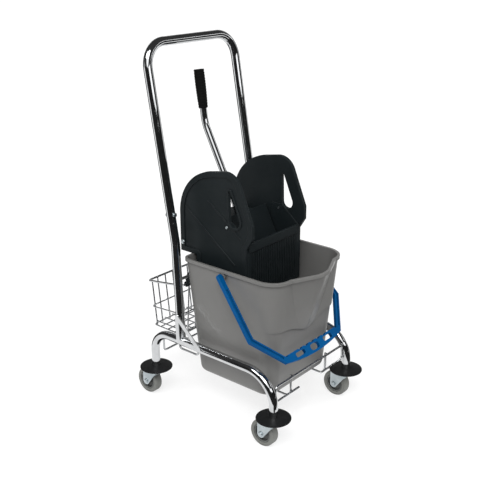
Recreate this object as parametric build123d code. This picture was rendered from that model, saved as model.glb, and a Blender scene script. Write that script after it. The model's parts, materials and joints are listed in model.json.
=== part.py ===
from build123d import *
import math
import os

# Mop trolley in millimetres: origin on the floor between the four casters, -Y front, +Z up.

# Fits
run_gap = 0.05
seat_gap = 0.3
hole_gap = 0.1

# Chassis tube
tube_d = 24.0
tube_wall = 1.5
track = 332.0
wheelbase = 426.0
rail_z = 204.0
front_bend = 85.0
rear_bend = 60.0

# Leaning uprights and push handle
upright_y = 107.0
low_lean = 2.4
lean = 9.6
knee_z = 485.0
upright_bend = 150.0
joint_z = 541.0
handle_z = 991.0
handle_bend = 64.0
joint_groove = 2.0
joint_groove_deep = 0.7
sleeve_len = 80.0
sleeve_wall = 2.0
handle_bolt_z = 562.0
bolt_d = 6.0

# Triangular brace plates
brace_t = 3.0
brace_w = 12.5
brace_top = 72.0
brace_reach = 76.0
brace_rise = 4.0

# Casters
wheel_d = 75.0
tyre_w = 24.0
tyre_depth = 11.0
tyre_edge = 3.5
rim_w = 20.0
rim_depth = 4.0
web_w = 8.0
hub_d = 21.0
hub_w = 27.0
axle_d = 8.0
axle_head_d = 13.0
axle_head_h = 4.0
trail = 29.0
fork_side_gap = 0.5
fork_t = 2.5
fork_eye = 11.0
fork_front = 15.0
crown_gap = 4.0
race_d = 37.0
race_h = 5.0
fork_web_h = 15.0
stem_d = 11.0
stem_head_d = 18.0
stem_head_h = 3.5
plug_h = 20.0
disc_d = 92.0
disc_h = 9.7
disc_edge = 4.5
disc_hub_d = 32.0

# Welded wires and rods
wire_d = 6.0
rod_d = 8.0
wire_bend = 10.0
front_wire_in = 6.0
front_wire_low = 125.0
front_wire_high = 169.0
front_stub_x = 50.0
cradle_x = 78.0
cradle_z = 107.0
cradle_rear = 100.0
cradle_shelf_z = 153.0
rear_wire_in = 29.0
rear_rise_x = 160.0
loop_rear = 115.0
loop_front = 46.0
loop_z = 180.0

# Bucket
bucket_rim_z = 446.0
bucket_wall = 3.0
base_half = 133.0
base_rear = 87.0
base_front_in = 36.0
rim_half = 152.0
rim_rear = 105.0
front_flare = 30.5
base_corner = 38.0
rim_corner = 50.0
rim_rear_corner = 20.0
base_round = 18.0
ledge_z = 303.0
ledge_dip = 27.0
ledge_half = 110.0
step_out = 5.0
step_side = 2.0
spout_root = 2.0
spout_half = 100.0
spout_out = 44.0
spout_low_half = 44.0
spout_low_out = 2.0
spout_tip_r = 80.0
spout_low_tip_r = 30.0
lip_w = 4.0
lip_h = 8.0

# Bail
bail_from_front = 166.0
bail_z = 429.0
bail_drop = 48.0
bail_gap = 0.5
bail_w = 15.0
bail_t = 10.0
bail_tail = 9.0
knee_x = 187.0
knee_r = 178.5
grip_x = 116.0
grip_r = 265.0
grip_in = 11.0
grip_bow = 20.0
grip_half = 104.0
peg_d = 10.0
peg_len = 7.5
boss_d = 17.0
groove_w = 7.0
groove_deep = 2.0
window_pitch = 60.0
window_w = 38.0
window_h = 12.0
window_mid_w = 36.0
window_mid_h = 17.0
notch_r = 13.0
notch_pitch = 26.0
notch_deep = 4.0

# Wringer housing
cheek_x = 115.0
cheek_t = 10.0
cheek_recess = 2.5
cheek_border = 14.0
wringer_low = 350.0
wringer_front = 80.0
wringer_rear = 92.0
overhang_rear = 149.0
nose_y = 98.5
nose_root_z = 500.0
nose_low_z = 529.0
nose_high_z = 564.0
peak_y = -43.0
peak_z = 697.0
peak_r = 50.0
back_z = 664.0
back_r = 130.0
foot_r = 8.0
hand_low = (-41.0, 566.0, 18.0)
hand_high = (-25.0, 640.0, 4.0)
hand_border = 5.0
wall_t = 4.0
wing_t = 3.0
wing_rear = 8.0
wing_top = 558.0
slit_w = 3.4
slit_pitch = 7.6
slit_count = 25
slit_low = 364.0
slit_high = 486.0
band_out = 3.0
band_z = 490.0
band_top = 512.0
drain_w = 6.0
drain_len = 70.0
drain_pitch = 24.0
drain_y = -30.0
rear_wall_y = 128.0
hood_z = 522.0
hook_reach = 8.0
hook_drop = 16.0
rivet_y = -14.0
rivet_z = 545.0
rivet_d = 6.0
rivet_head_d = 9.0
rivet_head_h = 2.5
tie_y = 140.0
tie_z = 472.0
rib_w = 4.0
rib_h = 1.5
long_rib = ((130.0, 575.0), (-40.0, 447.0))
short_rib = ((49.0, 605.0), (-61.0, 522.0))

# Press jaw and lever
jaw_y = -33.0
jaw_z = 396.0
jaw_lean = 27.0
jaw_axle_d = 10.0
jaw_barrel_d = 20.0
jaw_side_gap = 3.0
jaw_front = 14.0
jaw_plate = 6.0
jaw_top = 165.0
jaw_foot_h = 30.0
jaw_rib_pitch = 35.0
jaw_rib_t = 4.0
lever_d = 19.0
lever_wall = 1.5
lever_start = 45.0
socket_d = 28.0
socket_floor = 8.0
socket_len = 130.0
lever_bolt_at = 95.0
lever_bend = 100.0
lever_top = 138.0
lever_top_lean = 7.8
grip_below_bar = 81.5
grip_len = 101.0
grip_d = 28.4
grip_peak = 0.35
grip_taper = 4.6
grip_rings = 14
grip_valley = 0.9
grip_cap = 3.0

# Wire basket
basket_half = 136.0
rim_wire_d = 6.0
mesh_wire_d = 4.0
basket_rear_y = 262.0
basket_rear_z = 332.0
basket_front_y = 128.0
basket_front_z = 352.0
basket_low_rear = 248.0
basket_low_front = 138.0
basket_low_z = 200.0
hoop_share = 0.42
basket_corner = 12.0
basket_pitch = 30.0
basket_rod_z = 382.0
basket_tilt = 20.0
clip_x = 115.5
clip_w = 13.0
clip_r = 9.0
clip_hook_r = 7.5

half_track = track / 2
half_base = wheelbase / 2
tube_r = tube_d / 2
tube_bore = tube_d - 2 * tube_wall
wire_r = wire_d / 2
front_wire_y = half_base - front_wire_in
rear_wire_y = half_base - rear_wire_in
base_front = front_wire_y - base_front_in
rim_front = base_front + front_flare
bail_y = bail_from_front - rim_front
rod_r = rod_d / 2
axle_z = wheel_d / 2
crown_low = wheel_d + crown_gap
crown_high = crown_low + fork_t
race_top = crown_high + race_h
disc_low = race_top + seat_gap
leg_foot = disc_low + disc_h
fork_gap = hub_w + 2 * fork_side_gap
fork_half = fork_gap / 2 + fork_t
lean_dir = Vector(0, math.sin(math.radians(lean)), math.cos(math.radians(lean)))
lean_back = Vector(0, math.cos(math.radians(lean)), -math.sin(math.radians(lean)))

os.makedirs("parts", exist_ok=True)


def save(name, shape):
    export_step(shape, "parts/" + name + ".step")
    print(name, round(shape.volume, 1))


def swept(path, diameter):
    start = Plane(origin=path @ 0, z_dir=path % 0)
    return sweep(start * Circle(diameter / 2), path=path)


def bent(points, bends, diameter, bore=0.0):
    path = FilletPolyline(*points, radius=bends)
    solid = swept(path, diameter)
    if bore > 0:
        solid = solid - swept(path, bore)
    return solid


def straight(start, end, diameter):
    run = Vector(*end) - Vector(*start)
    plane = Plane(origin=start, z_dir=run)
    return extrude(plane * Circle(diameter / 2), amount=run.length)


def leaning(x, z):
    low_rise = min(z, knee_z) - rail_z
    high_rise = max(z, knee_z) - knee_z
    back = low_rise * math.tan(math.radians(low_lean)) + high_rise * math.tan(math.radians(lean))
    return (x, upright_y + back, z)


def across(profile, x_low, x_high):
    plane = Plane(origin=(x_low, 0, 0), x_dir=(0, 1, 0), z_dir=(1, 0, 0))
    return extrude(plane * profile, amount=x_high - x_low)


def pin_x(y, z, diameter, x_low, x_high):
    return straight((x_low, y, z), (x_high, y, z), diameter)


def both_sides(shape):
    return Compound([shape, mirror(shape, about=Plane.YZ)])


def hull_of(*circles):
    edges = []
    for y, z, radius in circles:
        edges += (Pos(y, z) * Circle(radius)).edges()
    return make_hull(edges)


# Side rails: one tube each, both ends turned down to the casters
def rail_points(x):
    return [
        (x, -half_base, leg_foot),
        (x, -half_base, rail_z),
        (x, half_base, rail_z),
        (x, half_base, leg_foot),
    ]


rail_bends = [front_bend, rear_bend]
left_rail = bent(rail_points(-half_track), rail_bends, tube_d, tube_bore)
left_rail_full = bent(rail_points(-half_track), rail_bends, tube_d)
right_rail = mirror(left_rail, about=Plane.YZ)
rails_full = left_rail_full + mirror(left_rail_full, about=Plane.YZ)
save("left_rail", left_rail)
save("right_rail", right_rail)

# Uprights: coped on the rails, bent to lean back, open at the top for the handle sleeve
foot = leaning(-half_track, rail_z)
knee = leaning(-half_track, knee_z)
joint = leaning(-half_track, joint_z)
upright_full = bent([foot, knee, joint], [upright_bend], tube_d)
left_upright = bent([foot, knee, joint], [upright_bend], tube_d, tube_bore) - left_rail_full
left_upright = left_upright.solids().sort_by(SortBy.VOLUME)[-1]
groove_low = Vector(*joint) - lean_dir * joint_groove / 2
groove_high = Vector(*joint) + lean_dir * joint_groove / 2
ring = straight(groove_low, groove_high, tube_d + joint_groove)
ring -= straight(groove_low, groove_high, tube_d - 2 * joint_groove_deep)
left_upright -= ring
save("left_upright", left_upright)
save("right_upright", mirror(left_upright, about=Plane.YZ))

# Push handle: inverted U standing on the uprights, held by a sleeve and a bolt on each side
handle_points = [
    leaning(-half_track, joint_z),
    leaning(-half_track, handle_z),
    leaning(half_track, handle_z),
    leaning(half_track, joint_z),
]
handle = bent(handle_points, [handle_bend, handle_bend], tube_d, tube_bore)
bolt_at = Vector(*leaning(-half_track, handle_bolt_z))


def bolt_hole(diameter):
    return straight(bolt_at - lean_back * tube_d, bolt_at + lean_back * tube_d, diameter)


drill = bolt_hole(bolt_d + 2 * hole_gap)
drills = drill + mirror(drill, about=Plane.YZ)
save("push_handle", handle - drills - ring - mirror(ring, about=Plane.YZ))

sleeve_mid = Vector(*joint)
sleeve_low = sleeve_mid - lean_dir * sleeve_len / 2
sleeve_high = sleeve_mid + lean_dir * sleeve_len / 2
sleeve_d = tube_bore - 2 * run_gap
sleeve = straight(sleeve_low, sleeve_high, sleeve_d)
sleeve = sleeve - straight(sleeve_low, sleeve_high, sleeve_d - 2 * sleeve_wall) - drill
save("coupling_sleeves", both_sides(sleeve))

shank = straight(bolt_at - lean_back * (tube_r + 5), bolt_at + lean_back * tube_r, bolt_d)
head = straight(bolt_at + lean_back * tube_r, bolt_at + lean_back * (tube_r + 4), 2 * bolt_d)
head = fillet(head.faces().sort_by(Axis.Y)[-1].edges(), 2.5)
nut_plane = Plane(origin=bolt_at - lean_back * tube_r, z_dir=lean_back * -1)
nut = extrude(nut_plane * RegularPolygon(bolt_d, 6), amount=4.5)
save("handle_bolts", both_sides(shank + head + nut))

# Braces: flat triangular frames welded to the outer side of upright and rail
brace_foot = Vector(foot[1], foot[2] + brace_rise)
brace_apex = brace_foot + Vector(brace_top * math.tan(math.radians(low_lean)), brace_top)
brace_toe = brace_foot - Vector(brace_reach, 0)
triangle = make_face(Polyline(brace_foot, brace_apex, brace_toe, close=True))
brace_face = offset(triangle, brace_w / 2) - offset(triangle, -brace_w / 2)
left_brace = across(brace_face, -half_track - tube_r - brace_t, -half_track - tube_r)
save("left_brace", left_brace)
save("right_brace", mirror(left_brace, about=Plane.YZ))

# Rods: one between the uprights for the basket clips, one between the rails under the basket
rod_y = leaning(0, basket_rod_z)[1]
uprights_full = upright_full + mirror(upright_full, about=Plane.YZ)
basket_rod = pin_x(rod_y, basket_rod_z, rod_d, -half_track, half_track) - uprights_full
basket_rod = basket_rod.solids().sort_by(SortBy.VOLUME)[-1]
save("basket_rod", basket_rod)

rear_rod_y = (foot[1] + basket_low_rear) / 2 - 25
rear_rod_z = basket_low_z - mesh_wire_d / 2 - rod_r - seat_gap
rear_rod = pin_x(rear_rod_y, rear_rod_z, rod_d, -half_track, half_track) - rails_full
rear_rod = rear_rod.solids().sort_by(SortBy.VOLUME)[-1]
save("rear_cross_rod", rear_rod)

# Basket clips: plastic hooks round the rod with an open groove for the basket's rim wire
basket_lift = Vector(math.sin(math.radians(basket_tilt)), math.cos(math.radians(basket_tilt)))
hook_at = Vector(basket_front_y, basket_front_z)
groove_end = hook_at + basket_lift * 60
groove_r = rim_wire_d / 2 + seat_gap
clip_face = hull_of((rod_y, basket_rod_z, clip_r), (hook_at.X, hook_at.Y, clip_hook_r))
clip_face -= hull_of((hook_at.X, hook_at.Y, groove_r), (groove_end.X, groove_end.Y, groove_r))
clip_face -= Pos(rod_y, basket_rod_z) * Circle(rod_r + hole_gap)
clip = across(clip_face, clip_x - clip_w / 2, clip_x + clip_w / 2)
clip = clip.solids().sort_by(SortBy.VOLUME)[-1]
save("basket_clips", both_sides(clip))

# Bucket cradle of bent wire between and below the rails
wire_x = half_track - tube_r - wire_r
front_wire = bent(
    [
        (-front_stub_x, -front_wire_y, front_wire_low),
        (-wire_x, -front_wire_y, front_wire_low),
        (-wire_x, -front_wire_y, front_wire_high),
        (wire_x, -front_wire_y, front_wire_high),
        (wire_x, -front_wire_y, front_wire_low),
        (front_stub_x, -front_wire_y, front_wire_low),
    ],
    [wire_bend] * 4,
    wire_d,
)
save("front_wire", front_wire)

cradle_front = front_wire_y - wire_d
cradle_top = front_wire_high + wire_r
left_cradle = bent(
    [
        (-cradle_x, -cradle_front, cradle_top),
        (-cradle_x, -cradle_front, cradle_z),
        (-cradle_x, cradle_rear, cradle_z),
        (-cradle_x, cradle_rear, cradle_shelf_z),
        (-cradle_x, rear_wire_y + wire_d, cradle_shelf_z),
    ],
    [2 * wire_bend, wire_bend, wire_bend],
    wire_d,
)
save("left_cradle_wire", left_cradle)
save("right_cradle_wire", mirror(left_cradle, about=Plane.YZ))

rear_wire_z = cradle_shelf_z - wire_d
rear_wire = bent(
    [
        (-rear_rise_x, rear_wire_y, rail_z),
        (-rear_rise_x, rear_wire_y, rear_wire_z),
        (rear_rise_x, rear_wire_y, rear_wire_z),
        (rear_rise_x, rear_wire_y, rail_z),
    ],
    [wire_bend, wire_bend],
    wire_d,
)
rear_wire = (rear_wire - rails_full).solids().sort_by(SortBy.VOLUME)[-1]
save("rear_wire", rear_wire)

side_loop = bent(
    [
        (-half_track, loop_rear, rail_z),
        (-half_track, loop_rear, loop_z),
        (-half_track, loop_front, loop_z),
        (-half_track, loop_front, rail_z),
    ],
    [wire_bend, wire_bend],
    wire_d,
)
side_loop = (side_loop - left_rail_full).solids().sort_by(SortBy.VOLUME)[-1]
save("side_loops", both_sides(side_loop))


# Casters, drawn with the swivel axis on Z and the wheel trailing towards +Y
def turned_z(points):
    face = make_face(Plane.XZ * Polyline(*points, close=True))
    return revolve(face, Axis.Z, 360)


def turned_wheel(points):
    plane = Plane(origin=(0, trail, axle_z), x_dir=(0, 1, 0), z_dir=(0, 0, -1))
    face = make_face(plane * Polyline(*points, close=True))
    return revolve(face, Axis((0, trail, axle_z), (1, 0, 0)), 360)


stem_bore = stem_d / 2 + run_gap
disc = turned_z(
    [
        (stem_bore, disc_low),
        (disc_hub_d / 2, disc_low),
        (disc_d / 2 - 2, disc_low + 1),
        (disc_d / 2, disc_low + 2),
        (disc_d / 2, disc_low + disc_edge - 1),
        (disc_d / 2 - 2, disc_low + disc_edge),
        (disc_hub_d / 2, leg_foot - 1),
        (tube_r + 1, leg_foot),
        (stem_bore, leg_foot),
    ]
)

stem_low = crown_low - seat_gap - stem_head_h
plug_r = tube_bore / 2 - run_gap
stem = turned_z(
    [
        (0, stem_low),
        (stem_head_d / 2 - 1.5, stem_low),
        (stem_head_d / 2, stem_low + 1.5),
        (stem_head_d / 2, stem_low + stem_head_h),
        (stem_d / 2, stem_low + stem_head_h),
        (stem_d / 2, leg_foot),
        (plug_r, leg_foot),
        (plug_r, leg_foot + plug_h - 1),
        (plug_r - 1, leg_foot + plug_h),
        (0, leg_foot + plug_h),
    ]
)

crown_rear = trail + fork_eye
leg_edges = (Pos(trail, axle_z) * Circle(fork_eye)).edges()
leg_edges += Polyline((-fork_front, crown_low), (-fork_front, crown_high)).edges()
leg_edges += Polyline((crown_rear, crown_low), (crown_rear, crown_high)).edges()
leg_face = make_hull(leg_edges)
web_slope = (trail - fork_eye + fork_front) / (crown_low - axle_z)
web_low = crown_low - fork_web_h
web_y = -fork_front + fork_web_h * web_slope * 0.8
web_face = make_face(
    Polyline(
        (-fork_front, crown_low),
        (web_y, web_low),
        (web_y + fork_t, web_low),
        (-fork_front + fork_t, crown_low),
        close=True,
    )
)
fork = across(leg_face, fork_gap / 2, fork_half) + across(leg_face, -fork_half, -fork_gap / 2)
fork += across(web_face, -fork_gap / 2, fork_gap / 2)
crown = Pos(0, (crown_rear - fork_front) / 2, (crown_low + crown_high) / 2)
fork += crown * Box(2 * fork_half, crown_rear + fork_front, fork_t)
fork += Pos(0, 0, (crown_low + race_top) / 2) * Cylinder(race_d / 2, race_top - crown_low)
fork -= Pos(0, 0, (crown_low + race_top) / 2) * Cylinder(stem_bore, 2 * (race_top - crown_low))
fork -= pin_x(trail, axle_z, axle_d + 2 * run_gap, -2 * fork_half, 2 * fork_half)

axle_end = fork_half + axle_head_h + 2
axle = pin_x(trail, axle_z, axle_d, -fork_half, axle_end)
axle_head = pin_x(trail, axle_z, axle_head_d, -fork_half - axle_head_h, -fork_half)
axle += fillet(axle_head.faces().sort_by(Axis.X)[0].edges(), 1.5)
axle_nut = Plane(origin=(fork_half, trail, axle_z), z_dir=(1, 0, 0)) * RegularPolygon(axle_head_d / 2, 6)
axle += extrude(axle_nut, amount=axle_head_h)

hub_bore = axle_d / 2 + run_gap
rim_r = wheel_d / 2 - tyre_depth
hub = turned_wheel(
    [
        (hub_bore, hub_w / 2),
        (hub_d / 2, hub_w / 2),
        (hub_d / 2, web_w / 2),
        (rim_r - rim_depth, web_w / 2),
        (rim_r - rim_depth, rim_w / 2),
        (rim_r, rim_w / 2),
        (rim_r, -rim_w / 2),
        (rim_r - rim_depth, -rim_w / 2),
        (rim_r - rim_depth, -web_w / 2),
        (hub_d / 2, -web_w / 2),
        (hub_d / 2, -hub_w / 2),
        (hub_bore, -hub_w / 2),
    ]
)
tread_r = wheel_d / 2
tyre = turned_wheel(
    [
        (rim_r, tyre_w / 2 - 1),
        (rim_r + 1, tyre_w / 2),
        (tread_r - tyre_edge, tyre_w / 2),
        (tread_r - tyre_edge * 0.3, tyre_w / 2 - tyre_edge * 0.3),
        (tread_r, tyre_w / 2 - tyre_edge),
        (tread_r, -tyre_w / 2 + tyre_edge),
        (tread_r - tyre_edge * 0.3, -tyre_w / 2 + tyre_edge * 0.3),
        (tread_r - tyre_edge, -tyre_w / 2),
        (rim_r + 1, -tyre_w / 2),
        (rim_r, -tyre_w / 2 + 1),
    ]
)

corners = {
    "front_left": (-half_track, -half_base),
    "front_right": (half_track, -half_base),
    "rear_left": (-half_track, half_base),
    "rear_right": (half_track, half_base),
}
for corner in corners:
    place = Pos(corners[corner][0], corners[corner][1], 0)
    save(corner + "_disc", place * disc)
    save(corner + "_stem", place * stem)
    save(corner + "_fork", place * fork)
    save(corner + "_axle", place * axle)
    save(corner + "_hub", place * hub)
    save(corner + "_tyre", place * tyre)

# Bucket: tapered body, a proud upper front above a dipping ledge, a spout that widens towards the
# rim, and a rolled lip
bucket_low = cradle_z + wire_r + seat_gap
bucket_h = bucket_rim_z - bucket_low
ledge_low = ledge_z - ledge_dip


def body_front(z):
    share = (z - bucket_low) / bucket_h
    return base_front + (rim_front - base_front) * share


def body_outline(z, inset):
    share = (z - bucket_low) / bucket_h
    half = base_half + (rim_half - base_half) * share - inset
    rear = base_rear + (rim_rear - base_rear) * share - inset
    front = body_front(z) - inset
    front_corner = base_corner + (rim_corner - base_corner) * share - inset
    rear_corner = base_corner + (rim_rear_corner - base_corner) * share - inset
    face = Pos(0, (rear - front) / 2) * Rectangle(2 * half, rear + front)
    face = fillet(face.vertices().group_by(Axis.Y)[0], front_corner)
    face = fillet(face.vertices().group_by(Axis.Y)[-1], rear_corner)
    return Pos(0, 0, z) * face


def step_outline(z, inset):
    share = (z - bucket_low) / bucket_h
    half = base_half + (rim_half - base_half) * share - inset - step_side
    front = body_front(z) + step_out - inset
    front_corner = base_corner + (rim_corner - base_corner) * share - inset
    face = Pos(0, -front / 2) * Rectangle(2 * half, front)
    face = fillet(face.vertices().group_by(Axis.Y)[0], front_corner)
    return Pos(0, 0, z) * face


def spout_outline(z, inset):
    share = (z - ledge_low) / (bucket_rim_z - ledge_low)
    front = body_front(z) + step_out - inset
    half = spout_low_half + (spout_half - spout_low_half) * share - inset
    tip = -front - spout_low_out - (spout_out - spout_low_out) * share
    tip_r = spout_low_tip_r + (spout_tip_r - spout_low_tip_r) * share - inset
    root = -front + spout_root
    back = root + 20
    corners_right = [(half, root), (half, back)]
    face = make_face(Polyline((-half, back), (-half, root), (0, tip), *corners_right, close=True))
    return Pos(0, 0, z) * fillet(face.vertices().sort_by(Axis.Y)[0], tip_r)


def below_ledge(inset):
    high = ledge_z + inset
    low = ledge_low + inset
    dip = Spline((-ledge_half, high), (0, low), (ledge_half, high), tangents=[(1, 0), (1, 0)])
    right = [(ledge_half, high), (rim_half, high), (rim_half, 0)]
    left = [(-rim_half, 0), (-rim_half, high), (-ledge_half, high)]
    face = make_face([dip, Polyline(*right, *left)])
    return extrude(Plane.XZ * face, amount=2 * rim_front, both=True)


def bucket_form(inset, top):
    body = loft([body_outline(bucket_low + inset, inset), body_outline(top, inset)])
    body = fillet(body.faces().sort_by(Axis.Z)[0].edges(), base_round - inset)
    start = ledge_low - step_out
    step = loft([step_outline(start, inset), step_outline(top, inset)])
    spout = loft([spout_outline(start, inset), spout_outline(top, inset)])
    return body + (step + spout - below_ledge(inset))


outer_form = bucket_form(0, bucket_rim_z)
inner_form = bucket_form(bucket_wall, bucket_rim_z + 2)
rim_face = outer_form.faces().filter_by(Axis.Z).sort_by(Axis.Z)[-1]
lip = extrude(offset(rim_face, lip_w), amount=-lip_h)
boss_x = rim_half + lip_w + 2
boss = pin_x(bail_y, bail_z, boss_d, rim_half - 6, boss_x)
bucket = outer_form + lip + boss + mirror(boss, about=Plane.YZ) - inner_form
peg_hole = pin_x(bail_y, bail_z, peg_d + 2 * run_gap, boss_x - peg_len - seat_gap, boss_x + 1)
bucket = bucket - peg_hole - mirror(peg_hole, about=Plane.YZ)
save("bucket", bucket)

# Bail: flat moulding in the plane through its pivots, drawn with r pointing away from the pivot axis
arm_x = boss_x + bail_gap + bail_w / 2
drop = math.radians(bail_drop)
bail_plane = Plane(
    origin=(0, bail_y, bail_z),
    x_dir=(1, 0, 0),
    z_dir=(0, -math.sin(drop), math.cos(drop)),
)


hexagon = [
    (arm_x, bail_tail - bail_w / 2),
    (knee_x, -knee_r),
    (grip_x, -grip_r),
    (-grip_x, -grip_r),
    (-knee_x, -knee_r),
    (-arm_x, bail_tail - bail_w / 2),
]
grip_edge = -grip_r + grip_in
grip_side = -grip_r - bail_w / 2
grip_shape = make_face(
    [
        Polyline(
            (grip_x, grip_side),
            (grip_half, grip_edge),
            (-grip_half, grip_edge),
            (-grip_x, grip_side),
        ),
        ThreePointArc((-grip_x, grip_side), (0, -grip_r - grip_bow), (grip_x, grip_side)),
    ]
)
arm_shape = trace([Line(hexagon[i], hexagon[i + 1]) for i in range(5)], line_width=bail_w)
knees = Sketch() + [Pos(*point) * Circle(bail_w / 2) for point in hexagon[0:6]]
bail_face = arm_shape + knees + grip_shape
notch_y = grip_edge + notch_r - notch_deep
notches = [Pos(notch_pitch * n, notch_y) * Circle(notch_r) for n in range(-2, 3)]
windows = [Pos(window_pitch * n, -grip_r - 2) * RectangleRounded(window_w, window_h, 4) for n in (-1, 1)]
windows.append(Pos(0, -grip_r - 5) * RectangleRounded(window_mid_w, window_mid_h, 8))
bail_face = bail_face - notches - windows
bail = extrude(bail_plane * bail_face, amount=bail_t / 2, both=True)
groove_lines = [
    Line((arm_x * 0.8 + knee_x * 0.2, -knee_r * 0.2), (knee_x, -knee_r)),
    Line((knee_x, -knee_r), (grip_x * 0.9 + knee_x * 0.1, -grip_r * 0.9 - knee_r * 0.1)),
]
groove = trace(groove_lines, line_width=groove_w)
groove_top = bail_plane.offset(bail_t / 2 - groove_deep)
groove_cut = extrude(groove_top * groove, amount=2 * groove_deep)
bail = bail - groove_cut - mirror(groove_cut, about=Plane.YZ)
peg = pin_x(bail_y, bail_z, peg_d, boss_x - peg_len, arm_x)
bail = bail + peg + mirror(peg, about=Plane.YZ)
save("bail", bail)

# Wringer cheeks: moulded side plates that stand on the bucket's rear rim
seat_z = bucket_rim_z + seat_gap
cheek_foot = (-wringer_front, wringer_low)
cheek_peak = (peak_y, peak_z)
cheek_back = (overhang_rear, back_z)
cheek_points = [
    cheek_foot,
    (-wringer_front, nose_root_z),
    (-nose_y, nose_low_z),
    (-nose_y, nose_high_z),
    cheek_peak,
    cheek_back,
    (overhang_rear, seat_z),
    (wringer_rear, seat_z),
    (wringer_rear, wringer_low),
]
cheek_face = make_face(Polyline(*cheek_points, close=True))
for spot, round_r in [(cheek_peak, peak_r), (cheek_back, back_r), (cheek_foot, foot_r)]:
    near = cheek_face.vertices().sort_by_distance((spot[0], spot[1], 0))[0]
    cheek_face = fillet(near, round_r)
hand_hole = hull_of(hand_low, hand_high)
hand_collar = offset(hand_hole, hand_border)
cheek_in = cheek_x - cheek_t
inset_face = offset(cheek_face, -cheek_border)
outer_pocket = across(inset_face - hand_collar, cheek_x - cheek_recess, cheek_x + 1)
rib_face = trace([Line(*long_rib), Line(*short_rib)], line_width=rib_w)
rib_face = (rib_face & inset_face) - hand_collar
cheek = across(cheek_face, cheek_in, cheek_x) - outer_pocket
cheek += across(rib_face, cheek_x - cheek_recess - 1, cheek_x - cheek_recess + rib_h)
cheek -= across(hand_hole, cheek_in - 1, cheek_x + 1)
for y, z, d in [(rivet_y, rivet_z, rivet_d), (tie_y, tie_z, rod_d), (jaw_y, jaw_z, jaw_axle_d)]:
    cheek -= pin_x(y, z, d + 2 * hole_gap, cheek_in - 5, cheek_x + 5)
save("right_cheek", cheek)
save("left_cheek", mirror(cheek, about=Plane.YZ))

# Press basket: slotted front wall, drained floor and two side wings inside the cheeks
front_face = -wringer_front
floor_rear = wringer_rear - wall_t


def slab(y_low, y_high, z_low, z_high):
    return Pos((y_low + y_high) / 2, (z_low + z_high) / 2) * Rectangle(y_high - y_low, z_high - z_low)


wall_face = slab(front_face, front_face + wall_t, wringer_low, band_top)
wall_face += slab(front_face - band_out, front_face, band_z, band_top)
wall_face += slab(front_face, floor_rear, wringer_low, wringer_low + wall_t)
wall = across(wall_face, -cheek_in, cheek_in)
wing_face = make_face(
    Polyline(
        (front_face, wringer_low),
        (front_face, band_top),
        (rivet_y - 12, wing_top),
        (wing_rear, wing_top),
        (wing_rear + 20, wringer_low),
        close=True,
    )
)
wing = across(wing_face, cheek_in - wing_t, cheek_in)
wing -= pin_x(rivet_y, rivet_z, rivet_d + 2 * hole_gap, cheek_in - 2 * wing_t, cheek_in + 1)
wing -= pin_x(jaw_y, jaw_z, jaw_axle_d + 2 * hole_gap, cheek_in - 2 * wing_t, cheek_in + 1)
wall += wing + mirror(wing, about=Plane.YZ)
slit_mid = (slit_low + slit_high) / 2
slit_first = -slit_pitch * (slit_count - 1) / 2
slit = Box(slit_w, 3 * wall_t, slit_high - slit_low)
wall -= [Pos(slit_first + slit_pitch * n, front_face, slit_mid) * slit for n in range(slit_count)]
drain = Box(drain_w, drain_len, 3 * wall_t)
wall -= [Pos(drain_pitch * n, drain_y, wringer_low) * drain for n in range(-3, 4)]
save("press_basket", wall)

# Back panel: stands inside the bucket, bends over the rim, hooks behind it and rises to a hood
lip_rear = rim_rear + lip_w
panel_front = wringer_rear - wall_t
lever_tan = math.tan(math.radians(jaw_lean))
lever_at_hood = jaw_y + (hood_z - jaw_z) * lever_tan
socket_reach = socket_d / 2 / math.cos(math.radians(jaw_lean))
hood_front = lever_at_hood + socket_reach + wall_t * lever_tan + seat_gap
shelf_rear = rear_wall_y + wall_t
hook_y = lip_rear + hook_reach
panel = slab(panel_front, wringer_rear, wringer_low, seat_z + wall_t)
panel += slab(panel_front, shelf_rear, seat_z, seat_z + wall_t)
panel += slab(hook_y, hook_y + wall_t, seat_z - hook_drop, seat_z + wall_t / 2)
panel += slab(rear_wall_y, shelf_rear, seat_z, hood_z)
panel += slab(hood_front, shelf_rear, hood_z - wall_t / 2, hood_z + wall_t / 2)
save("back_panel", across(panel, -cheek_in, cheek_in))

rivet_in = cheek_in - wing_t - 1.5
rivet = pin_x(rivet_y, rivet_z, rivet_d, rivet_in, cheek_x)
rivet_out = cheek_x - cheek_recess
rivet_head = pin_x(rivet_y, rivet_z, rivet_head_d, rivet_out, rivet_out + rivet_head_h)
rivet += fillet(rivet_head.faces().sort_by(Axis.X)[-1].edges(), rivet_head_h - 0.5)
rivet += pin_x(rivet_y, rivet_z, rivet_head_d - 2, rivet_in, cheek_in - wing_t)
save("cheek_rivets", both_sides(rivet))

tie = pin_x(tie_y, tie_z, rod_d, -cheek_x, cheek_x)
tie_nut = pin_x(tie_y, tie_z, 1.7 * rod_d, cheek_x, cheek_x + 5)
tie_nut = fillet(tie_nut.faces().sort_by(Axis.X)[-1].edges(), 3.5)
save("tie_rod", tie + tie_nut + mirror(tie_nut, about=Plane.YZ))

jaw_axle = pin_x(jaw_y, jaw_z, jaw_axle_d, -cheek_x, cheek_x)
axle_cap = pin_x(jaw_y, jaw_z, 1.5 * jaw_axle_d, cheek_x - cheek_recess, cheek_x + 1)
save("jaw_axle", jaw_axle + axle_cap + mirror(axle_cap, about=Plane.YZ))

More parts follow.
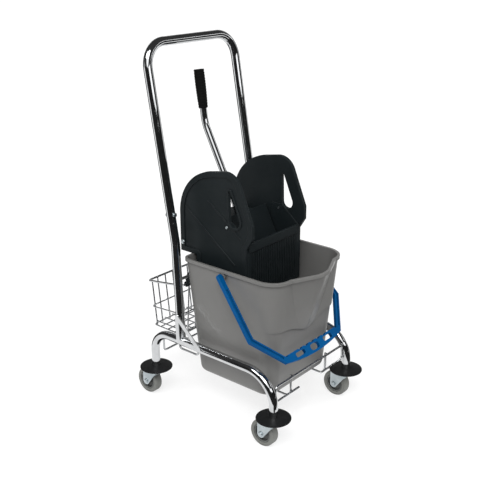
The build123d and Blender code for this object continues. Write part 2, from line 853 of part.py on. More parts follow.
# Press jaw: plate on a pivot barrel, with a socket for the lever; drawn upright, then leaned back
jaw_half = cheek_in - wing_t - jaw_side_gap
jaw_mid = (jaw_plate / 2 - jaw_front, jaw_top / 2)
jaw = across(Pos(*jaw_mid) * Rectangle(jaw_plate, jaw_top), -jaw_half, jaw_half)
jaw += across(Pos(0, 0) * Circle(jaw_barrel_d / 2), -jaw_half, jaw_half)
plate_rear = jaw_plate - jaw_front
foot_top = [(plate_rear, jaw_foot_h), (-jaw_front, jaw_foot_h)]
foot_face = make_face(Polyline((-jaw_front, 0), (0, 0), *foot_top, close=True))
jaw += across(foot_face, -jaw_half, jaw_half)
socket_low = lever_start - socket_floor
jaw += Pos(0, 0, socket_low + socket_len / 2) * Cylinder(socket_d / 2, socket_len)
rib_top = [(jaw_plate, jaw_foot_h), (plate_rear, jaw_top - 10)]
jaw_rib = make_face(Polyline((1 - jaw_front, 20), (0, 0), *rib_top, close=True))
for n in (-2, -1, 1, 2):
    jaw += across(jaw_rib, jaw_rib_pitch * n - jaw_rib_t / 2, jaw_rib_pitch * n + jaw_rib_t / 2)
lever_bore = lever_d + 2 * run_gap
jaw -= Pos(0, 0, lever_start + jaw_top) * Cylinder(lever_bore / 2, 2 * jaw_top)
jaw -= pin_x(0, 0, jaw_axle_d + 2 * run_gap, -cheek_x, cheek_x)
jaw -= pin_x(0, lever_bolt_at, bolt_d + 2 * hole_gap, -socket_d, socket_d)
jaw_place = Pos(0, jaw_y, jaw_z) * Rot(-jaw_lean, 0, 0)
save("press_jaw", jaw_place * jaw)

# Lever: straight tube from the socket, a slight bend, and a hand grip on its upper end
lever_tip_z = handle_z - grip_below_bar
lever_bend_z = lever_tip_z - lever_top
lever_foot = jaw_place * Pos(0, 0, lever_start)
lever_knee = (0, jaw_y + (lever_bend_z - jaw_z) * lever_tan, lever_bend_z)
lever_tip_y = lever_knee[1] + lever_top * math.tan(math.radians(lever_top_lean))
lever_tip = (0, lever_tip_y, lever_tip_z)
lever = bent([lever_foot.position, lever_knee, lever_tip], [lever_bend], lever_d, lever_d - 2 * lever_wall)
lever -= jaw_place * pin_x(0, lever_bolt_at, bolt_d + 2 * hole_gap, -socket_d, socket_d)
save("lever_tube", lever)

lever_bolt = pin_x(0, lever_bolt_at, bolt_d, -socket_d / 2 - 4, socket_d / 2)
bolt_head = pin_x(0, lever_bolt_at, 2 * bolt_d, socket_d / 2, socket_d / 2 + 4)
lever_bolt += fillet(bolt_head.faces().sort_by(Axis.X)[-1].edges(), 2.5)
bolt_nut = Plane(origin=(-socket_d / 2, 0, lever_bolt_at), z_dir=(-1, 0, 0)) * RegularPolygon(bolt_d, 6)
lever_bolt += extrude(bolt_nut, amount=4.5)
save("lever_bolt", jaw_place * lever_bolt)

grip_run = (Vector(*lever_tip) - Vector(*lever_knee)).normalized()
grip_plane = Plane(origin=Vector(*lever_tip) + grip_run * grip_cap, z_dir=grip_run * -1)
grip_pitch = grip_len / grip_rings
grip_bore = lever_d / 2 + run_gap


def grip_radius(at):
    return grip_d / 2 - grip_taper * (at / grip_len - grip_peak) ** 2


grip_points = [(0, 0)]
for n in range(grip_rings):
    at = n * grip_pitch
    ring_r = grip_radius(at + grip_pitch / 2)
    grip_points.append((ring_r - grip_valley, at))
    grip_points.append((ring_r, at + grip_valley))
    grip_points.append((ring_r, at + grip_pitch - 2 * grip_valley))
    grip_points.append((ring_r - grip_valley, at + grip_pitch - grip_valley))
grip_points.append((grip_radius(grip_len) - grip_valley, grip_len))
grip_points += [(grip_bore, grip_len), (grip_bore, grip_cap), (0, grip_cap)]
grip_face = make_face(Plane.XZ * Polyline(*grip_points, close=True))
save("lever_grip", grip_plane.location * revolve(grip_face, Axis.Z, 360))

# Wire basket: rim, two hoops, upright wires inside them and a floor of crossed wires
mesh_r = mesh_wire_d / 2
rim_step = rim_wire_d / 2 + mesh_r + run_gap


def hoop(front, rear, half, diameter):
    mid = (Vector(*front) + Vector(*rear)) * 0.5
    run = Vector(*rear) - Vector(*front)
    plane = Plane(origin=mid, x_dir=(1, 0, 0), z_dir=Vector(1, 0, 0).cross(run))
    path = plane * RectangleRounded(2 * half, run.length, basket_corner).wire()
    return swept(path, diameter)


def between(low, high, share):
    return low + (high - low) * share


rim_front_at = (0, basket_front_y, basket_front_z)
rim_rear_at = (0, basket_rear_y, basket_rear_z)
save("basket_rim", hoop(rim_front_at, rim_rear_at, basket_half, rim_wire_d))

thin = (rim_wire_d - mesh_wire_d) / 2
hoops = []
for share in (0.0, hoop_share):
    front_y = between(basket_low_front, basket_front_y, share) + thin
    front_z = between(basket_low_z, basket_front_z, share)
    rear_y = between(basket_low_rear, basket_rear_y, share) - thin
    rear_z = between(basket_low_z, basket_rear_z, share)
    hoops.append(hoop((0, front_y, front_z), (0, rear_y, rear_z), basket_half - thin, mesh_wire_d))
save("basket_hoops", Compound(hoops))

uprights = []


def upright_wire(x, low_y, high_y, high_z):
    slope = (high_y - low_y) / (high_z - basket_low_z)
    low_end = (x, low_y - slope * mesh_r, basket_low_z - mesh_r)
    uprights.append(straight(low_end, (x, high_y, high_z), mesh_wire_d))


for n in range(-4, 4):
    x = basket_pitch * (n + 0.5)
    upright_wire(x, basket_low_rear - rim_step, basket_rear_y - rim_step, basket_rear_z)
    upright_wire(x, basket_low_front + rim_step, basket_front_y + rim_step, basket_front_z)
corner_in = basket_corner + thin - (basket_corner - mesh_wire_d - 2 * run_gap) * math.sqrt(0.5)
for side in (-1, 1):
    x = side * (basket_half - corner_in)
    upright_wire(x, basket_low_rear - corner_in, basket_rear_y - corner_in, basket_rear_z)
save("basket_uprights", Compound(uprights))

floor_wires = []
for n in range(-4, 5):
    x = basket_pitch * n
    z = basket_low_z + mesh_wire_d
    floor_wires.append(straight((x, basket_low_front, z), (x, basket_low_rear, z), mesh_wire_d))
floor_end = basket_half - thin - mesh_r
for n in (1, 2, 3):
    y = between(basket_low_front, basket_low_rear, n / 4)
    floor_wires.append(pin_x(y, basket_low_z, mesh_wire_d, -floor_end, floor_end))
save("basket_floor_wires", Compound(floor_wires))
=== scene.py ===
# %% [markdown]
# # A cleaning trolley in its studio
# The trolley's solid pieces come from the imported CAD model, already in place and in metres. This
# lesson gives them their finishes, adds the beads that welding leaves on the chassis, and lights the
# whole for a product picture. The CAD pieces themselves are never moved.

import json
import math

import bmesh
import bpy
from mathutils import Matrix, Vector


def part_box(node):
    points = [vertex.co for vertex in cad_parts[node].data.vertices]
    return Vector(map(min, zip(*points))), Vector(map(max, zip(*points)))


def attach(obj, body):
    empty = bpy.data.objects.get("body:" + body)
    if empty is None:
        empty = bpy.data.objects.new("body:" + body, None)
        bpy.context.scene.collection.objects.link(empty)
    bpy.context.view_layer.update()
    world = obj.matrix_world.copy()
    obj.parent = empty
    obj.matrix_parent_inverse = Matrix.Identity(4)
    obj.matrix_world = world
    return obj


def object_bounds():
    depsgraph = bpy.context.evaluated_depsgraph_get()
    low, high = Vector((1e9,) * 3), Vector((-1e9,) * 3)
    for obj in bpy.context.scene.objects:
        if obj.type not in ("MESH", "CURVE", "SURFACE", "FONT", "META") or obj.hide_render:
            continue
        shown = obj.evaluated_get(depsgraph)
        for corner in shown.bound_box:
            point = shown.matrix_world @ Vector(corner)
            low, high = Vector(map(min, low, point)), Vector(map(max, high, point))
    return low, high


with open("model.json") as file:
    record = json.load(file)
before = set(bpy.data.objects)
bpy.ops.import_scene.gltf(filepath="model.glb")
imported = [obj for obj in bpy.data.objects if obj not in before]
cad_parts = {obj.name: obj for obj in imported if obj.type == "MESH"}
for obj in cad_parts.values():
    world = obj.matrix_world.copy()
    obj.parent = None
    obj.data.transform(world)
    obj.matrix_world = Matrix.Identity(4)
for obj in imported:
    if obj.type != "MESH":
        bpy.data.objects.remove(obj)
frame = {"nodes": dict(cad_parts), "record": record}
nodes = frame["nodes"]
cad_low, cad_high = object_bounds()
scene = bpy.context.scene
print(len(nodes), "CAD pieces, overall", [round(v, 3) for v in cad_high - cad_low], "m")

# %% [markdown]
# The picture was taken from before the trolley's front left corner, a little above the handle's height,
# with a short telephoto lens. A camera could be nudged by eye until the picture fits. This one was
# worked out from the rails, the bumper discs and the handle instead, because its distance sets how much
# smaller the rear casters look than the front ones, and no change of lens makes up for that.

# %% Camera
camera_place = Vector((-1.592, -1.319, 1.237))
camera_down = math.radians(20.9)
camera_turn = math.radians(-50.3)
camera_lens = 59.05
sensor_width = 36

camera = bpy.data.objects.new("camera", bpy.data.cameras.new("camera"))
camera.location = camera_place
camera.rotation_euler = (math.pi / 2 - camera_down, 0, camera_turn)
camera.data.lens = camera_lens
camera.data.sensor_width = sensor_width
scene.collection.objects.link(camera)
scene.camera = camera
print("camera", round(camera_place.length, 2), "m from the floor's middle")

# %% [markdown]
# No real surface is quite even. A finish is a small network of nodes, and its unevenness comes from
# clouds, which is what a noise texture makes: one cloud shifts the colour a little, a finer one makes
# some places duller than others. A painted picture could do this too, but it would have to be fitted
# to every piece. Clouds in object coordinates need no fitting, and they ride along with their piece.

# %% Clouds
cloud_low = 0.3
cloud_high = 0.7


def new_finish(name):
    """A new finish, with its network and the shader at its end."""
    finish = bpy.data.materials.new(name)
    finish.use_nodes = True
    return finish, finish.node_tree, finish.node_tree.nodes["Principled BSDF"]


def cloud(tree, scale, detail):
    """Soft noise; a larger scale makes smaller clouds, and detail roughens their outlines."""
    place = tree.nodes.new("ShaderNodeTexCoord")
    noise = tree.nodes.new("ShaderNodeTexNoise")
    noise.inputs["Scale"].default_value = scale
    noise.inputs["Detail"].default_value = detail
    tree.links.new(place.outputs["Object"], noise.inputs["Vector"])
    return noise.outputs["Fac"]


def between(tree, signal, low, high, start=cloud_low, end=cloud_high):
    """Numbers that go from low to high while the signal goes from start to end."""
    spread = tree.nodes.new("ShaderNodeMapRange")
    spread.inputs["From Min"].default_value = start
    spread.inputs["From Max"].default_value = end
    spread.inputs["To Min"].default_value = low
    spread.inputs["To Max"].default_value = high
    tree.links.new(signal, spread.inputs["Value"])
    return spread.outputs["Result"]


def shades(tree, signal, dark, light):
    """Colours that go from dark to light with a cloud."""
    ramp = tree.nodes.new("ShaderNodeValToRGB")
    ramp.color_ramp.elements[0].position = cloud_low
    ramp.color_ramp.elements[0].color = (*dark, 1)
    ramp.color_ramp.elements[1].position = cloud_high
    ramp.color_ramp.elements[1].color = (*light, 1)
    tree.links.new(signal, ramp.inputs["Fac"])
    return ramp.outputs["Color"]


print("clouds are spread from", cloud_low, "to", cloud_high)

# %% [markdown]
# The tubes and wires are chromed steel. Chrome is close to a mirror, so its own colour hardly shows:
# what one sees is the room. A perfect mirror would be quicker to make, but it looks like a drawing.
# Slight clouds in the roughness stand for finger marks and polishing, and a bump node raises a very
# fine grain. The casters and screws are zinc plated, which is duller, a touch blue and mottled.

# %% Metal finishes
metal_tint_cloud = {"scale": 30, "detail": 5}
metal_dull_cloud = {"scale": 55, "detail": 6}
metal_grain_depth = 1e-4
grain_detail = 2
finishes = {}


def relief(tree, signal, strength, depth):
    """A bump node that raises a cloud as grain."""
    bump = tree.nodes.new("ShaderNodeBump")
    bump.inputs["Strength"].default_value = strength
    bump.inputs["Distance"].default_value = depth
    tree.links.new(signal, bump.inputs["Height"])
    return bump


def metal(name, dark, light, dull, grain=900, strength=0.03):
    """A metal finish; dull holds its least and its greatest roughness."""
    finish, tree, surface = new_finish(name)
    tint = shades(tree, cloud(tree, **metal_tint_cloud), dark, light)
    dullness = between(tree, cloud(tree, **metal_dull_cloud), *dull)
    grains = relief(tree, cloud(tree, grain, grain_detail), strength, metal_grain_depth)
    tree.links.new(tint, surface.inputs["Base Color"])
    tree.links.new(dullness, surface.inputs["Roughness"])
    tree.links.new(grains.outputs["Normal"], surface.inputs["Normal"])
    surface.inputs["Metallic"].default_value = 1
    finishes[name] = finish


metal("chrome_tube", dark=(0.56, 0.57, 0.58), light=(0.66, 0.67, 0.68), dull=(0.03, 0.10))
metal("chrome_wire", dark=(0.46, 0.47, 0.48), light=(0.60, 0.61, 0.62), dull=(0.08, 0.20))
metal("zinc_steel", dark=(0.38, 0.43, 0.45), light=(0.55, 0.60, 0.62), dull=(0.26, 0.46),
      grain=400, strength=0.10)
print("metals:", ", ".join(finishes))

# %% [markdown]
# The corners of the plastic pieces get painted shade: their colour is darkened where shadow falls into
# them.
# Their edges are painted paler in patches, partly as rubbing from hands and floors and partly as a
# painted highlight. Both could be painted by hand. An ambient occlusion node finds these places by
# itself: looking out of the surface it finds corners, and looking into it, edges. A cloud breaks the pale
# edges up into patches, because even wear looks drawn on.

# %% Painted corner shade, and edges paler from wear and painted highlight
corner_samples = 8
open_surface = 0.95
deep_corner = 0.45
sharp_edge = 0.55
# reach of the painted shade in the corners
painted_shade_reach = 0.012
rub_reach = 0.0018
rub_cloud = {"scale": 60, "detail": 4}
rub_most = 0.9


def openness(tree, reach, inside=False):
    """From 0 in a deep corner, or on a thin edge where inside is true, to 1 in the open."""
    corner = tree.nodes.new("ShaderNodeAmbientOcclusion")
    corner.inside = inside
    corner.samples = corner_samples
    corner.inputs["Distance"].default_value = reach
    return corner.outputs["AO"]


# Painted shade: the colour itself is multiplied darker in the corners.
def painted_corner_shade(tree, tint, darkest):
    """A colour darkened into the corners by painted shade."""
    depth = between(tree, openness(tree, painted_shade_reach), darkest, 1, deep_corner, open_surface)
    shade = tree.nodes.new("ShaderNodeMix")
    shade.data_type = "RGBA"
    shade.blend_type = "MULTIPLY"
    shade.inputs["Factor"].default_value = 1
    tree.links.new(tint, shade.inputs["A"])
    tree.links.new(depth, shade.inputs["B"])
    return shade.outputs["Result"]


# Partly wear, partly painted highlight: thin edges found by ambient occlusion are lightened in colour.
def worn_and_highlit(tree, tint, rubbed_and_highlit):
    """A colour that gives way, on patches of the edges, to a paler one that is partly rubbed wear and
    partly a painted highlight.
    """
    near_edge = between(tree, openness(tree, rub_reach, inside=True), 0, 1, open_surface, sharp_edge)
    patchy = tree.nodes.new("ShaderNodeMath")
    patchy.operation = "MULTIPLY"
    tree.links.new(near_edge, patchy.inputs[0])
    tree.links.new(between(tree, cloud(tree, **rub_cloud), 0, rub_most), patchy.inputs[1])
    blend = tree.nodes.new("ShaderNodeMix")
    blend.data_type = "RGBA"
    blend.inputs["B"].default_value = (*rubbed_and_highlit, 1)
    tree.links.new(patchy.outputs["Value"], blend.inputs["Factor"])
    tree.links.new(tint, blend.inputs["A"])
    return blend.outputs["Result"]


print("corners darken within", painted_shade_reach, "m, edges wear within", rub_reach, "m")

# %% [markdown]
# The bucket, the bail and the wringer are injection moulded polypropylene: an even colour with a fine
# grain from the tool, and edges that are never quite sharp. Bevelled meshes would show that too, but the
# CAD meshes stay as they are, so a bevel node rounds the edges for the light alone. The bucket is the
# glossiest of them. The black plastic keeps its reflections low, because it would look grey in a white
# room otherwise. Tyres, bumper discs and the grip are rubbery and duller still.

# %% Moulded surface
plastic_tint_cloud = {"scale": 7, "detail": 4}
plastic_dull_cloud = {"scale": 24, "detail": 5}
plastic_grain_depth = 2e-4
edge_radius = 0.0015
edge_samples = 6
# how much paler the edges are painted, for wear and for a painted highlight
rub_and_highlight_lift = 1.25
rub_dust = 0.010


def moulded(name, dark, light, dull, grain, sheen, strength=0.25, painted_corner_light=0.45):
    """A moulded finish; sheen is how much it reflects, and painted_corner_light the light that the
    painted corner shade leaves in its corners.
    """
    finish, tree, surface = new_finish(name)
    tint = shades(tree, cloud(tree, **plastic_tint_cloud), dark, light)
    rubbed_and_highlit = [rub_and_highlight_lift * part + rub_dust for part in light]
    # The colour gets painted shade in its corners, then edges made paler partly by wear and partly by a
    # painted highlight.
    tint = worn_and_highlit(tree, painted_corner_shade(tree, tint, painted_corner_light), rubbed_and_highlit)
    dullness = between(tree, cloud(tree, **plastic_dull_cloud), *dull)
    grains = relief(tree, cloud(tree, grain, grain_detail), strength, plastic_grain_depth)
    round_edge = tree.nodes.new("ShaderNodeBevel")
    round_edge.samples = edge_samples
    round_edge.inputs["Radius"].default_value = edge_radius
    tree.links.new(round_edge.outputs["Normal"], grains.inputs["Normal"])
    tree.links.new(tint, surface.inputs["Base Color"])
    tree.links.new(dullness, surface.inputs["Roughness"])
    tree.links.new(grains.outputs["Normal"], surface.inputs["Normal"])
    surface.inputs["Specular IOR Level"].default_value = sheen
    finishes[name] = finish
    print(name, "is moulded, with a sheen of", sheen)


# %% Plastic and rubber finishes
moulded("grey_plastic", dark=(0.149, 0.148, 0.143), light=(0.171, 0.169, 0.164),
        dull=(0.31, 0.40), grain=1500, sheen=0.45, strength=0.10)
moulded("blue_plastic", dark=(0.000, 0.058, 0.186), light=(0.000, 0.078, 0.240),
        dull=(0.40, 0.55), grain=1200, sheen=0.06)
# the black plastic's painted corner shade is lighter
moulded("black_plastic", dark=(0.0075, 0.0110, 0.0125), light=(0.0120, 0.0160, 0.0175),
        dull=(0.42, 0.60), grain=1400, sheen=0.15, painted_corner_light=0.75)
moulded("black_disc", dark=(0.0055, 0.0060, 0.0065), light=(0.0100, 0.0105, 0.0110),
        dull=(0.45, 0.65), grain=900, sheen=0.2)
moulded("grip_rubber", dark=(0.004, 0.004, 0.004), light=(0.008, 0.008, 0.008),
        dull=(0.60, 0.80), grain=700, sheen=0.05, strength=0.5)
moulded("hub_plastic", dark=(0.10, 0.105, 0.10), light=(0.14, 0.145, 0.14),
        dull=(0.45, 0.60), grain=1200, sheen=0.3)
moulded("grey_tyre", dark=(0.150, 0.154, 0.144), light=(0.200, 0.204, 0.192),
        dull=(0.55, 0.75), grain=600, sheen=0.25, strength=0.4)
print("finishes:", ", ".join(finishes))

# %% [markdown]
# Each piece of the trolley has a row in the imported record, which names the material that it is made of.
# The finishes have the same names, so one loop hands them all out. Picking the pieces by hand would
# work too, but then a piece could be forgotten.

# %% Dress the pieces
for part in frame["record"]["subparts"]:
    for slot in nodes[part["node"]].material_slots:
        slot.material = finishes[part["material_slot"]]

# %% [markdown]
# The uprights are welded onto the side rails, and the wires of the bucket's cradle onto each other and
# onto the front legs. A weld is a row of overlapping drops. A curve with a round section would be too
# even for that, so each bead is a tube of rings that swell and shrink along its path, and that is thin
# at both ends. It takes the finish of the wires.

# %% Steps along a weld
drop_length = 0.0034
rings_per_drop = 6


def along(path):
    """Points at even steps along a path, with the direction at each."""
    legs = list(zip(path, path[1:]))
    length = sum((b - a).length for a, b in legs)
    step = drop_length / rings_per_drop
    count = max(2, round(length / step))
    spots = []
    travelled = 0.0
    for n in range(count + 1):
        target = length * n / count
        while len(legs) > 1 and target > travelled + (legs[0][1] - legs[0][0]).length:
            travelled += (legs[0][1] - legs[0][0]).length
            legs.pop(0)
        a, b = legs[0]
        heading = (b - a).normalized()
        spots.append((a + heading * (target - travelled), heading))
    return spots


print("a drop of weld is", drop_length, "m long and has", rings_per_drop, "rings")

# %% One weld bead
bead_radius = 0.0021
drop_swell = 0.22
end_thickness = 0.45
end_growth = 0.14
ring_points = 10


def ring_around(shape, spot, heading, radius):
    """One ring of points square to the heading."""
    turn = heading.to_track_quat("Z", "X")
    ring = []
    for k in range(ring_points):
        angle = 2 * math.pi * k / ring_points
        outwards = turn @ Vector((math.cos(angle), math.sin(angle), 0))
        ring.append(shape.verts.new(spot + outwards * radius))
    return ring


def weld_bead(shape, path):
    """Add one rippled, closed tube to a mesh being built."""
    rings = []
    spots = along(path)
    for n, (spot, heading) in enumerate(spots):
        swell = 1 + drop_swell * math.cos(2 * math.pi * n / rings_per_drop)
        from_end = min(n, len(spots) - 1 - n)
        radius = bead_radius * swell * min(1.0, end_thickness + end_growth * from_end)
        rings.append(ring_around(shape, spot, heading, radius))
    for one, two in zip(rings, rings[1:]):
        for k in range(ring_points):
            m = (k + 1) % ring_points
            shape.faces.new((one[k], one[m], two[m], two[k]))
    shape.faces.new(rings[0][::-1])
    shape.faces.new(rings[-1])


print("a bead is up to", round(2 * bead_radius * (1 + drop_swell), 4), "m thick")


# %% A piece of beads
def welds(name, paths):
    """A piece with one bead along each path."""
    shape = bmesh.new()
    for path in paths:
        weld_bead(shape, path)
    mesh = bpy.data.meshes.new(name)
    shape.to_mesh(mesh)
    shape.free()
    mesh.materials.append(finishes["chrome_wire"])
    mesh.polygons.foreach_set("use_smooth", [True] * len(mesh.polygons))
    piece = bpy.data.objects.new(name, mesh)
    scene.collection.objects.link(piece)
    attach(piece, "frame")
    print(name, len(paths), "beads,", len(mesh.vertices), "points")


# %% [markdown]
# An upright stands on its rail, and both are tubes of one size, so their seam is a saddle: it lies high
# before and behind the upright and drops to the rail's sides. It could be found by cutting the two
# meshes, but for equal tubes it has a simple rule: a point of the seam is as high above the rail's
# middle as it is far from the crossing along the rail. The sides themselves get no bead, because the
# tubes lie flush there. The places of rail and upright are read from the boxes of these CAD pieces.

# %% Welds under the uprights
foot_lean = math.radians(2.4)
seam_step = 4
behind_upright = (20, 160)
before_upright = (200, 340)


def saddle(side, first, last):
    """Half of the seam round an upright's foot, between two angles in degrees."""
    rail_low, rail_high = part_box(side + "_rail")
    upright_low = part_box(side + "_upright")[0]
    radius = (rail_high.x - rail_low.x) / 2
    middle = Vector(((rail_low.x + rail_high.x) / 2, upright_low.y + radius, rail_high.z - radius))
    path = []
    for degrees in range(first, last + 1, seam_step):
        angle = math.radians(degrees)
        rise = radius * abs(math.sin(angle))
        back = rise * math.tan(foot_lean)
        path.append(middle + Vector((radius * math.cos(angle), radius * math.sin(angle) + back, rise)))
    return path


halves = behind_upright, before_upright
welds("upright_welds", [saddle(side, *half) for side in ("left", "right") for half in halves])

# %% [markdown]
# Where the cradle's wires cross, and where the front wire meets a leg, a welder sets a short run of
# drops. The same bead serves for it, on a straight path of two points. The crossings are worked out
# from the boxes of the wires and the rails, so that the beads stay on them if a size changes.

# %% Welds of the cradle
crossing_run = 0.012
leg_run = 0.016
sideways = Vector((1, 0, 0))
upwards = Vector((0, 0, 1))


def short_run(middle, direction, length):
    """A straight path of two points."""
    half = direction * length / 2
    return [middle - half, middle + half]


front_low, front_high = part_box("front_wire")
back_low, back_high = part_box("rear_wire")
front_middle = (front_low + front_high) / 2
back_middle = (back_low + back_high) / 2
cradle_seams = []
for side in ("left", "right"):
    wire_low, wire_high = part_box(side + "_cradle_wire")
    rail_low, rail_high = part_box(side + "_rail")
    wire_radius = (wire_high.x - wire_low.x) / 2
    wire_x = (wire_low.x + wire_high.x) / 2
    leg_x = rail_high.x if side == "left" else rail_low.x
    at_front = Vector((wire_x, front_high.y, front_high.z - wire_radius))
    at_back = Vector((wire_x, back_middle.y, back_low.z + 2 * wire_radius))
    at_leg = Vector((leg_x, front_middle.y, front_middle.z))
    cradle_seams.append(short_run(at_front, sideways, crossing_run))
    cradle_seams.append(short_run(at_back, sideways, crossing_run))
    cradle_seams.append(short_run(at_leg, upwards, leg_run))
welds("cradle_welds", cradle_seams)

# %% [markdown]
# The picture has a white floor that runs into a white background. A backdrop with a rounded foot is
# the usual way. A very large pale disc does it here, because the camera looks down steeply enough to
# see nothing but floor. It glows a little of its own, like a light table, which keeps the shadow under
# the casters faint and soft.

# %% Floor
floor_radius = 40.0
floor_corners = 64
floor_glow = 0.72
floor_dark = (0.31, 0.31, 0.31)
floor_light = (0.33, 0.33, 0.33)
floor_cloud = {"scale": 0.6, "detail": 2}
floor_roughness = 0.9

floor_finish, floor_tree, floor_surface = new_finish("studio_floor")
floor_tint = shades(floor_tree, cloud(floor_tree, **floor_cloud), floor_dark, floor_light)
floor_tree.links.new(floor_tint, floor_surface.inputs["Base Color"])
floor_surface.inputs["Roughness"].default_value = floor_roughness
floor_surface.inputs["Specular IOR Level"].default_value = 0.0
floor_surface.inputs["Emission Color"].default_value = (1, 1, 1, 1)
floor_surface.inputs["Emission Strength"].default_value = floor_glow

floor_mesh = bpy.data.meshes.new("floor")
floor_shape = bmesh.new()
bmesh.ops.create_circle(floor_shape, cap_ends=True, segments=floor_corners, radius=floor_radius)
floor_shape.to_mesh(floor_mesh)
floor_shape.free()
floor_mesh.materials.append(floor_finish)
floor = bpy.data.objects.new("floor", floor_mesh)
floor.location.z = cad_low.z
scene.collection.objects.link(floor)
print("floor", 2 * floor_radius, "m across, at height", round(floor.location.z, 4))

# %% [markdown]
# The room is a world of light, without walls to model. It lights the trolley evenly from everywhere.
# Mirrors see another room, because in an even one chrome would look like grey paint: a pale band round
# the horizon, darkness above it, and one large soft box of light high on the camera's side. It is what
# makes the leaning lever bright while the crossbar of the handle has a dark top. First comes this
# mirrored room. Bearings count from the trolley's front, anticlockwise seen from above.

# %% The room that mirrors see
horizon_top = (0.10, 0.28)
horizon_light = 0.38
ceiling_light = 0.03
soft_box_bearing = math.radians(-50)
soft_box_rise = math.radians(38)
soft_box_edge = (0.88, 0.93)
mirror_light = 1.5

room = bpy.data.worlds.new("white_room")
room.use_nodes = True
room_tree = room.node_tree
direction = room_tree.nodes.new("ShaderNodeTexCoord").outputs["Generated"]
height = room_tree.nodes.new("ShaderNodeSeparateXYZ")
room_tree.links.new(direction, height.inputs["Vector"])
horizon = between(room_tree, height.outputs["Z"], horizon_light, ceiling_light, *horizon_top)

towards_box = room_tree.nodes.new("ShaderNodeVectorMath")
towards_box.operation = "DOT_PRODUCT"
towards_box.inputs[1].default_value = (
    math.sin(soft_box_bearing) * math.cos(soft_box_rise),
    -math.cos(soft_box_bearing) * math.cos(soft_box_rise),
    math.sin(soft_box_rise),
)
room_tree.links.new(direction, towards_box.inputs[0])
soft_box = between(room_tree, towards_box.outputs["Value"], 0, 1, *soft_box_edge)

brightest = room_tree.nodes.new("ShaderNodeMath")
brightest.operation = "MAXIMUM"
room_tree.links.new(horizon, brightest.inputs[0])
room_tree.links.new(soft_box, brightest.inputs[1])
mirrored = room_tree.nodes.new("ShaderNodeBackground")
room_tree.links.new(brightest.outputs["Value"], mirrored.inputs["Color"])
mirrored.inputs["Strength"].default_value = mirror_light
soft_box_width = 2 * math.degrees(math.acos(soft_box_edge[0]))
print("soft box", round(soft_box_width), "degrees wide")

# %% [markdown]
# A Light Path node tells what kind of ray asks for the room. Mirror rays get the room above, the camera
# gets plain white, so that the background stays white in low views too, and all other rays get the even
# light that the trolley stands in. Brighter light would whiten the background as well, but it would
# bleach the plastic with it.

# %% The room for each kind of ray
room_light = 0.46
backdrop_light = 1.0
ray = room_tree.nodes.new("ShaderNodeLightPath")


def instead(kind, usual, special):
    """Use a special light for one kind of ray."""
    choice = room_tree.nodes.new("ShaderNodeMixShader")
    room_tree.links.new(ray.outputs[kind], choice.inputs["Fac"])
    room_tree.links.new(usual, choice.inputs[1])
    room_tree.links.new(special, choice.inputs[2])
    return choice.outputs["Shader"]


plain = room_tree.nodes["Background"]
backdrop = room_tree.nodes.new("ShaderNodeBackground")
for light, strength in ((plain, room_light), (backdrop, backdrop_light)):
    light.inputs["Color"].default_value = (1, 1, 1, 1)
    light.inputs["Strength"].default_value = strength
whole = instead("Is Glossy Ray", plain.outputs["Background"], mirrored.outputs["Background"])
whole = instead("Is Camera Ray", whole, backdrop.outputs["Background"])
room_tree.links.new(whole, room_tree.nodes["World Output"].inputs["Surface"])
scene.world = room
print("even light of strength", room_light)

# %% [markdown]
# Three lamps give the even light a gentle direction: the key lamp above the camera, one for the left
# side, and a low one for the right side of the bucket's front. Area lamps would have to be set up at a
# distance. A sun needs only a direction, and a wide one throws soft shadows. The low lamp is hidden from
# mirrors, where it would make a bright spot on the handle.


# %% Lamps
def distant_lamp(name, bearing, rise, energy, spread, in_mirrors=True):
    """Soft light from a bearing, all angles in degrees; in_mirrors says whether chrome shows it."""
    lamp = bpy.data.objects.new(name, bpy.data.lights.new(name, "SUN"))
    lamp.data.energy = energy
    lamp.data.angle = math.radians(spread)
    lamp.rotation_euler = (math.radians(90 - rise), 0, math.radians(bearing))
    lamp.visible_glossy = in_mirrors
    scene.collection.objects.link(lamp)
    print(name, "at bearing", bearing, "and", rise, "degrees up")


distant_lamp("key_lamp", bearing=-48, rise=50, energy=1.8, spread=25)
distant_lamp("left_lamp", bearing=-98, rise=48, energy=0.75, spread=25)
distant_lamp("side_lamp", bearing=60, rise=20, energy=1.0, spread=15, in_mirrors=False)

# %% [markdown]
# Chrome tubes in a product picture owe their dark and bright stripes to what stands round them. Here
# dark cloths lie on the floor and hang round the camera's side and behind the trolley, with white cards
# above some of them and a grey wall behind. Only mirrors see them: the cloths draw the dark middle of
# each tube, and the cards draw bright stripes beside it. Stripes painted into the finish would not move
# when the trolley is seen from another side.

# %% Cloth, card and wall
sheet_cloud = {"scale": 2, "detail": 3}


def sheet(name, dark, light, glow=0.0):
    """A matt grey finish that may give light of its own."""
    finish, tree, surface = new_finish(name)
    tint = shades(tree, cloud(tree, **sheet_cloud), (dark, dark, dark), (light, light, light))
    tree.links.new(tint, surface.inputs["Base Color"])
    surface.inputs["Specular IOR Level"].default_value = 0.0
    surface.inputs["Emission Color"].default_value = (1, 1, 1, 1)
    surface.inputs["Emission Strength"].default_value = glow
    print(name, "between", dark, "and", light)
    return finish


dark_cloth = sheet("dark_cloth", 0.010, 0.030)
white_card = sheet("white_card", 0.88, 0.92, glow=1.0)
grey_wall = sheet("grey_wall", 0.30, 0.36)

# %% [markdown]
# Each sheet is a strip that bends round the trolley at an even distance. A bent strip could be cut
# from a cylinder, but a list of points at equal steps is as short, and it says where the sheet begins
# and ends.

# %% Lay and hang the sheets
hanging_distance = 3.2
cloth_lift = 0.004
floor_cloth_height = cad_low.z + cloth_lift
bend_step = math.radians(5)


def around(bearing, distance, height):
    """A point at a bearing from the front."""
    return (distance * math.sin(bearing), -distance * math.cos(bearing), height)


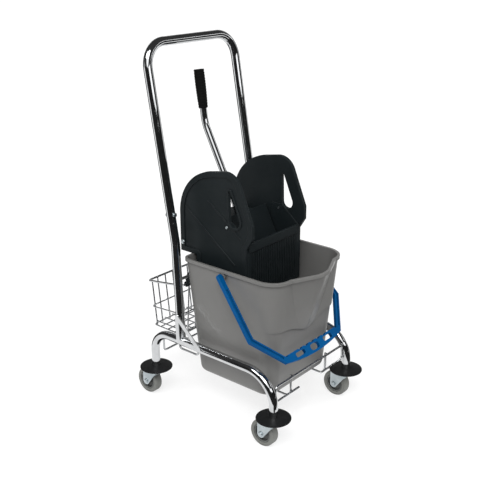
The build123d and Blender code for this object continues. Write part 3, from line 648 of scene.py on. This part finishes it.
def curved_strip(name, finish, bearings, near, far):
    """A strip between two bearings and two edges, each edge given as distance and height."""
    first, last = (math.radians(bearing) for bearing in bearings)
    count = math.ceil((last - first) / bend_step)
    points = []
    faces = []
    for n in range(count + 1):
        bearing = first + (last - first) * n / count
        points += [around(bearing, *near), around(bearing, *far)]
        if n:
            faces.append((2 * n - 2, 2 * n, 2 * n + 1, 2 * n - 1))
    mesh = bpy.data.meshes.new(name)
    mesh.from_pydata(points, [], faces)
    mesh.materials.append(finish)
    strip = bpy.data.objects.new(name, mesh)
    scene.collection.objects.link(strip)
    strip.visible_camera = False
    strip.visible_diffuse = False
    strip.visible_shadow = False
    print(name, "from bearing", bearings[0], "to", bearings[1])


def lying(name, finish, bearings, near, far):
    """A sheet on the floor, between two distances."""
    edges = (near, floor_cloth_height), (far, floor_cloth_height)
    curved_strip(name, finish, bearings, *edges)


def hanging(name, finish, bearings, low, high):
    """A sheet that hangs between two heights."""
    edges = (hanging_distance, low), (hanging_distance, high)
    curved_strip(name, finish, bearings, *edges)


# %% [markdown]
# The sheets below were placed by comparing the stripes with the picture, one sheet at a time. The gaps
# between them matter as much as the sheets, because through them the chrome sees the bright floor.

# %% Place the sheets
left_end = -125
middle_left = -32
middle_right = 12
behind = (170, 205)
near_floor = 0.60
far_floor = 1.9
cloth_top = 1.6
middle_top = 1.15

lying("cloth_floor_near", dark_cloth, bearings=(left_end, 80), near=near_floor, far=far_floor)
lying("cloth_floor_far", dark_cloth, bearings=(left_end, 30), near=far_floor, far=hanging_distance)
lying("cloth_feet", dark_cloth, bearings=(-45, 60), near=0.45, far=near_floor)
hanging("cloth_left", dark_cloth, bearings=(left_end, middle_left), low=0.0, high=cloth_top)
hanging("cloth_middle", dark_cloth, bearings=(middle_left, middle_right), low=0.0, high=middle_top)
hanging("card_middle", white_card, bearings=(middle_left, middle_right), low=middle_top, high=1.8)
hanging("cloth_right", dark_cloth, bearings=(middle_right, 60), low=0.0, high=cloth_top)
hanging("card_right", white_card, bearings=(30, 75), low=cloth_top, high=1.85)
hanging("wall_behind", grey_wall, bearings=(95, behind[0]), low=0.0, high=2.8)
lying("cloth_behind_floor", dark_cloth, bearings=behind, near=near_floor, far=hanging_distance)
hanging("cloth_behind", dark_cloth, bearings=behind, low=0.0, high=cloth_top)

# %% [markdown]
# The Standard view shows each colour about as it was written, where a film-like one would soften the
# white.

# %% Finish the scene
scene.view_settings.view_transform = "Standard"
